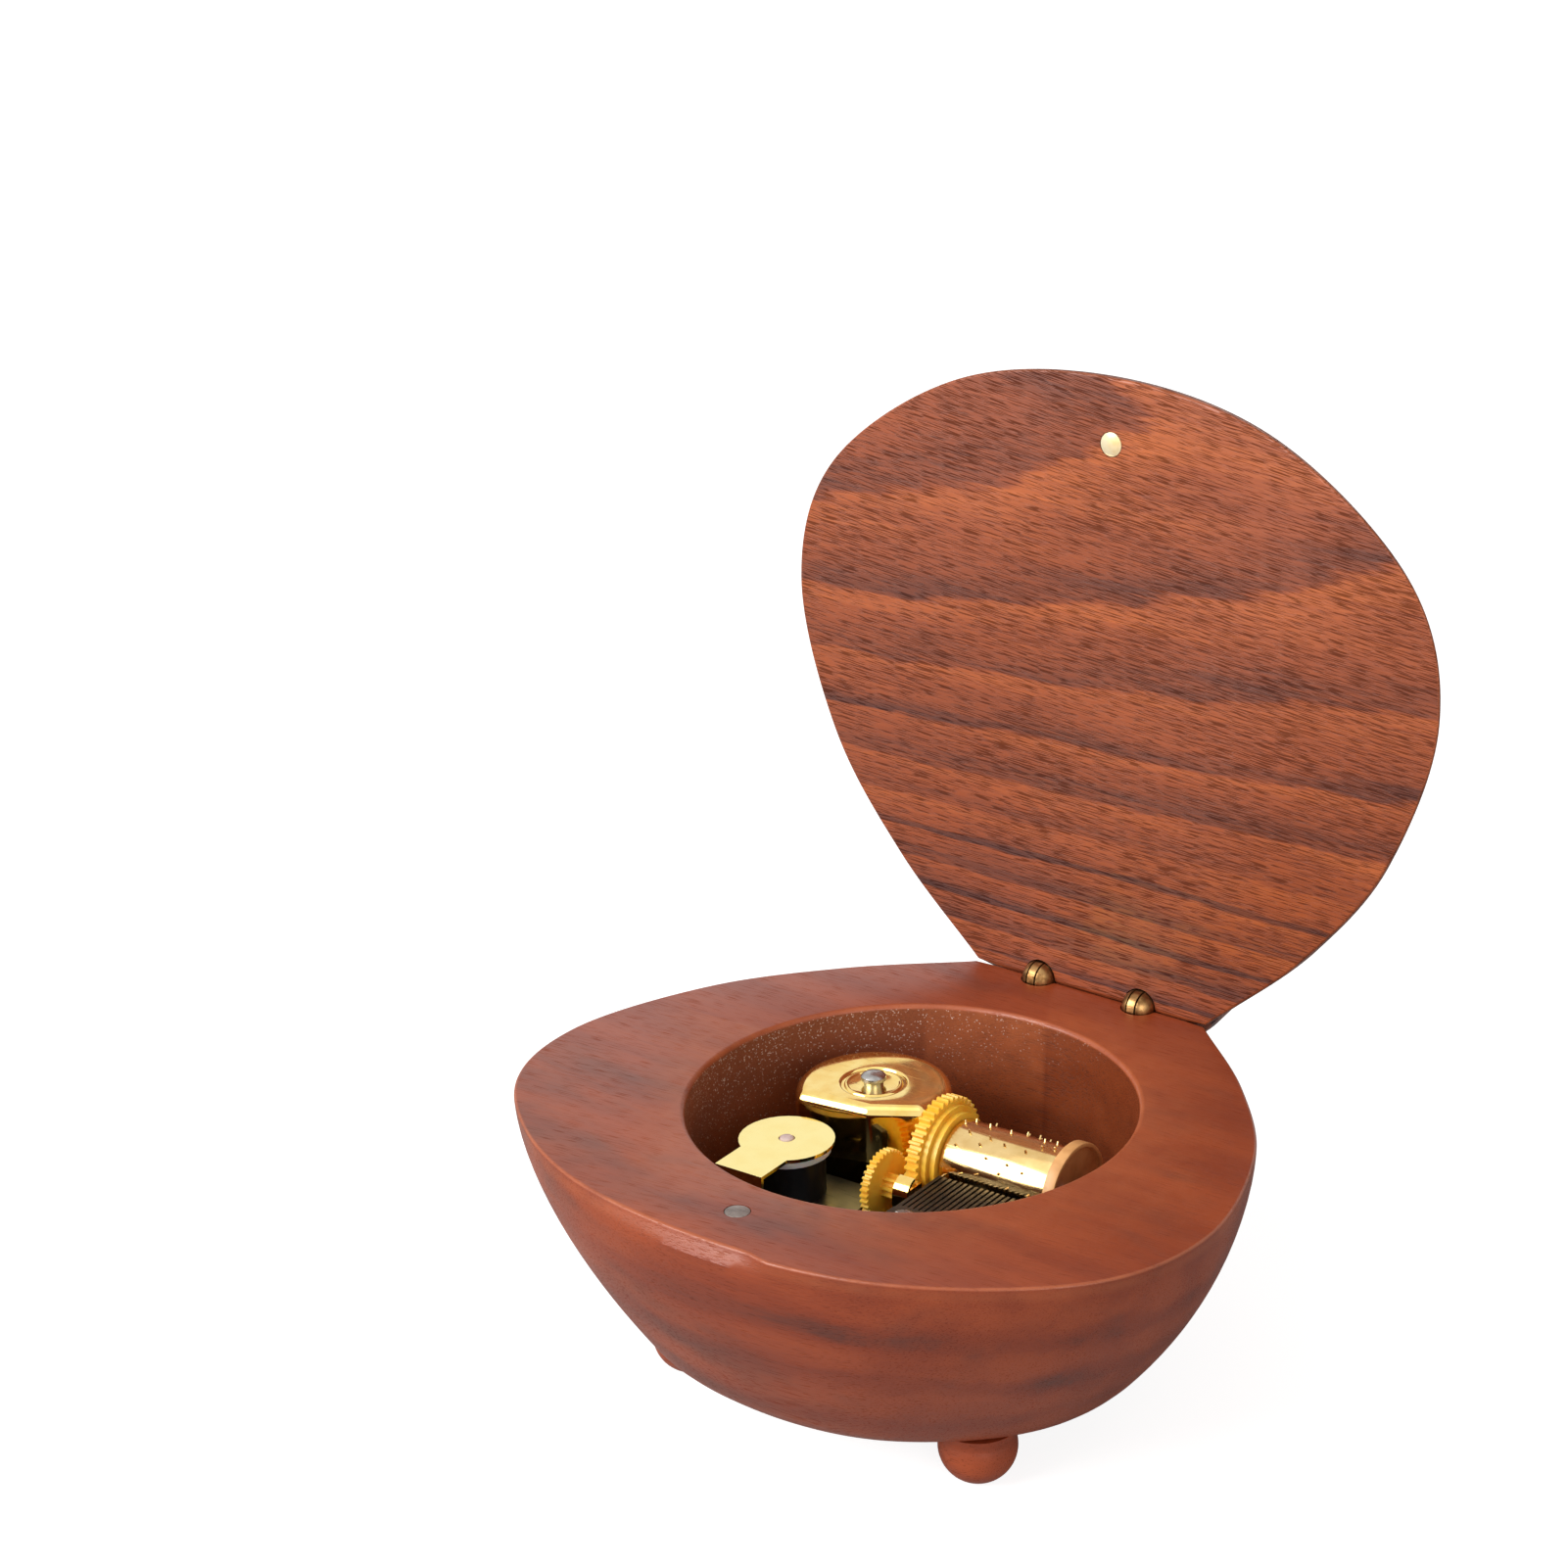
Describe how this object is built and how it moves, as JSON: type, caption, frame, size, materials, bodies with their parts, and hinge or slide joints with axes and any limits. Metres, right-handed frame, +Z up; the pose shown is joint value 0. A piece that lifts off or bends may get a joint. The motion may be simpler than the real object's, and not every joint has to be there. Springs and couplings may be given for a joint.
{
  "type": "spring-wound wooden music box",
  "caption": "Carved wooden music box on ball feet, with a hinged domed lid, a comb movement in a round well and a winding key beneath.",
  "frame": {"origin": "under the middle of the whole box with its lid open, on the plane that the three feet stand on", "axes": "+X along the hinge line to the right as seen from the front, -Y towards the magnet catch at the front, +Z up"},
  "size_m": [0.1246, 0.1384, 0.1538],
  "materials": {
    "base_bowl": "oiled walnut, satin",
    "lid": "oiled walnut, satin",
    "foot_front_left": "oiled walnut, satin",
    "foot_front_right": "oiled walnut, satin",
    "foot_back": "oiled walnut, satin",
    "hinge_barrel_base_left": "aged, satin",
    "hinge_barrel_base_right": "aged, satin",
    "hinge_barrel_lid_left": "aged, satin",
    "hinge_barrel_lid_right": "aged, satin",
    "hinge_pin_left": "satin",
    "hinge_pin_right": "satin",
    "base_magnet": "nickel plated, satin",
    "lid_magnet": "gilt plated, satin",
    "bedplate": "black",
    "spring_housing": "gilt, bright",
    "mainspring": "spring temper",
    "spring_gear": "moulded",
    "winding_arbor": "bright",
    "winding_key": "satin",
    "pinned_cylinder": "gilt, bright",
    "cylinder_gear": "moulded",
    "cylinder_end_cap": "moulded",
    "cylinder_shaft": "bright",
    "crown_pinion": "satin",
    "second_wheel": "moulded",
    "second_shaft": "bright",
    "pinion_guard": "gilt, bright",
    "third_pinion": "bright",
    "worm_wheel": "moulded",
    "third_shaft": "bright",
    "comb": "dark, ground",
    "comb_screw_1": "satin",
    "comb_screw_2": "satin",
    "governor_block": "black, glossy",
    "governor_bracket": "gilt, bright",
    "governor_rotor": "milky white",
    "governor_worm": "bright",
    "bracket_screw": "satin",
    "pivot_cap": "pale",
    "mount_screw_1": "satin",
    "mount_screw_2": "satin",
    "mount_screw_3": "satin"
  },
  "bodies": {
    "base": {"base_bowl": "base_bowl", "foot_front_left": "foot_front_left", "foot_front_right": "foot_front_right", "foot_back": "foot_back", "hinge_barrel_base_left": "hinge_barrel_base_left", "hinge_barrel_base_right": "hinge_barrel_base_right", "hinge_pin_left": "hinge_pin_left", "hinge_pin_right": "hinge_pin_right", "base_magnet": "base_magnet", "bedplate": "bedplate", "spring_housing": "spring_housing", "mainspring": "mainspring", "pinion_guard": "pinion_guard", "comb": "comb", "comb_screw_1": "comb_screw_1", "comb_screw_2": "comb_screw_2", "governor_block": "governor_block", "governor_bracket": "governor_bracket", "bracket_screw": "bracket_screw", "pivot_cap": "pivot_cap", "mount_screw_1": "mount_screw_1", "mount_screw_2": "mount_screw_2", "mount_screw_3": "mount_screw_3"},
    "lid_body": {"lid": "lid", "lid_magnet": "lid_magnet", "hinge_barrel_lid_left": "hinge_barrel_lid_left", "hinge_barrel_lid_right": "hinge_barrel_lid_right"},
    "winder": {"winding_arbor": "winding_arbor", "winding_key": "winding_key"},
    "cylinder": {"pinned_cylinder": "pinned_cylinder", "cylinder_gear": "cylinder_gear", "cylinder_end_cap": "cylinder_end_cap", "cylinder_shaft": "cylinder_shaft", "crown_pinion": "crown_pinion"},
    "spring_wheel": {"spring_gear": "spring_gear"},
    "second_arbor": {"second_wheel": "second_wheel", "second_shaft": "second_shaft"},
    "third_arbor": {"third_pinion": "third_pinion", "worm_wheel": "worm_wheel", "third_shaft": "third_shaft"},
    "governor": {"governor_worm": "governor_worm", "governor_rotor": "governor_rotor"}
  },
  "joints": [
    {"name": "lid_hinge", "type": "hinge", "parent": "base", "child": "lid_body", "pos_m": [0, 0.03619, 0.0486], "axis": [1, 0, 0], "range_deg": [0, 93.5]},
    {"name": "winding_turn", "type": "hinge", "parent": "base", "child": "winder", "pos_m": [-0.0155, -0.00331, 0.01175], "axis": [0, 0, 1], "continuous": true},
    {"name": "cylinder_spin", "type": "hinge", "parent": "base", "child": "cylinder", "pos_m": [0.01362, -0.00554, 0.03645], "axis": [0.999, 0.0436, 0], "continuous": true},
    {"name": "spring_gear_spin", "type": "hinge", "parent": "base", "child": "spring_wheel", "pos_m": [-0.0155, -0.00331, 0.03241], "axis": [0, 0, 1], "continuous": true},
    {"name": "second_spin", "type": "hinge", "parent": "base", "child": "second_arbor", "pos_m": [-0.00328, -0.01723, 0.03445], "axis": [0.999, 0.0436, 0], "continuous": true},
    {"name": "third_spin", "type": "hinge", "parent": "base", "child": "third_arbor", "pos_m": [-0.01281, -0.01909, 0.02759], "axis": [0.999, 0.0436, 0], "continuous": true},
    {"name": "governor_spin", "type": "hinge", "parent": "base", "child": "governor", "pos_m": [-0.01814, -0.02314, 0.02775], "axis": [0, 0, 1], "continuous": true}
  ],
  "couplings": [
    {"joint": "spring_gear_spin", "follows": "cylinder_spin", "ratio": 0.35714},
    {"joint": "second_spin", "follows": "cylinder_spin", "ratio": -5.25},
    {"joint": "third_spin", "follows": "cylinder_spin", "ratio": 23.625},
    {"joint": "governor_spin", "follows": "cylinder_spin", "ratio": 330.75}
  ]
}
